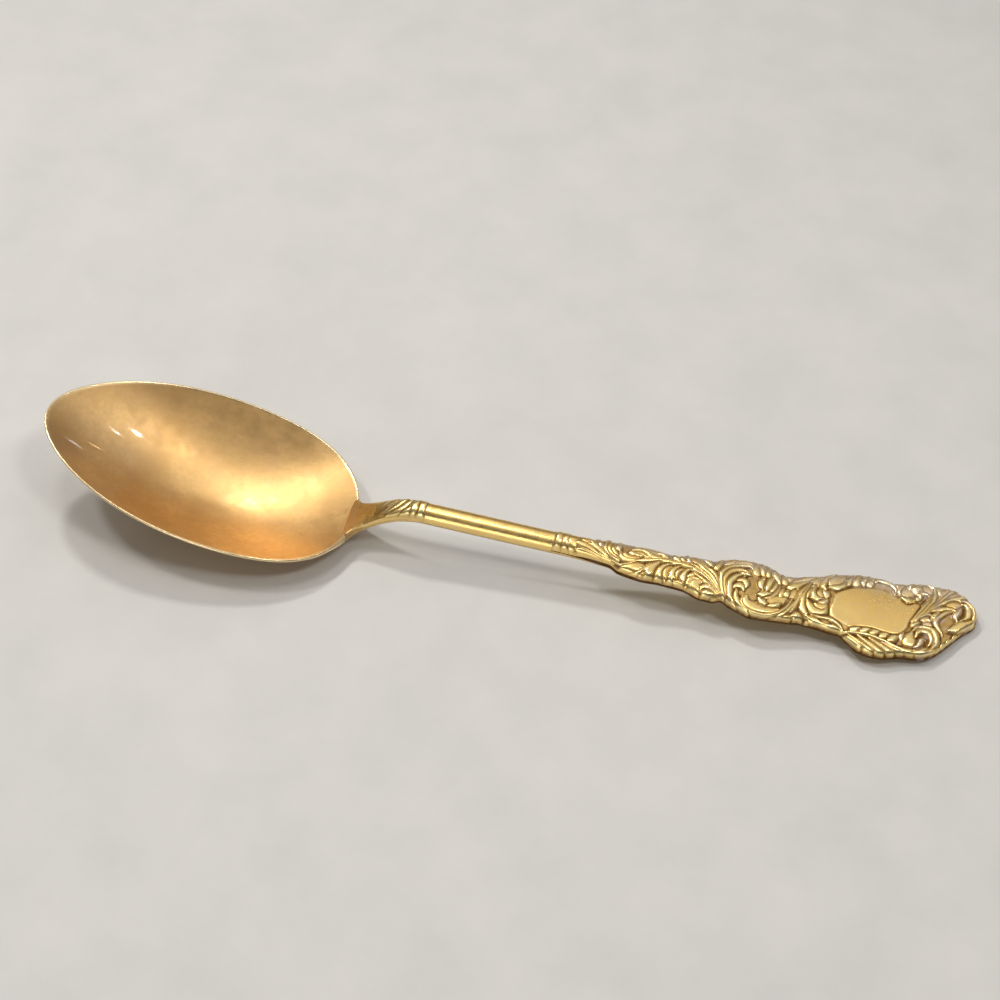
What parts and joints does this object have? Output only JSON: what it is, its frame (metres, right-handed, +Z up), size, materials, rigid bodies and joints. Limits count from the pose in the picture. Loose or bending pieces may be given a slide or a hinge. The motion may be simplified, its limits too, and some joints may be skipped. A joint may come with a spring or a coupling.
{
  "type": "teaspoon",
  "caption": "Gilt teaspoon with a pointed egg-shaped bowl, arched neck, round shank and a flat handle of struck leaves and scrolls round a smooth oval.",
  "frame": {"origin": "on the table under the spoon, half way along it and on the bowl's middle line; the table is the plane z = 0", "axes": "+X from the bowl's tip to the handle's end, +Y across the spoon, +Z up out of the open bowl"},
  "size_m": [0.1485, 0.0302, 0.0165],
  "materials": {
    "gilt_bowl": "satin gold wash, worn",
    "gilt_handle": "polished gold wash",
    "gilt_ornament": "gold wash, dark in the hollows and worn pale on the high spots"
  },
  "bodies": {
    "root": {"bowl": "gilt_bowl", "neck": "gilt_handle", "shank": "gilt_handle", "collar": "gilt_handle", "leaf_spray": "gilt_ornament", "feather_leaf": "gilt_ornament", "scroll_knot": "gilt_ornament", "cartouche": "gilt_ornament", "crest": "gilt_ornament"}
  },
  "joints": []
}
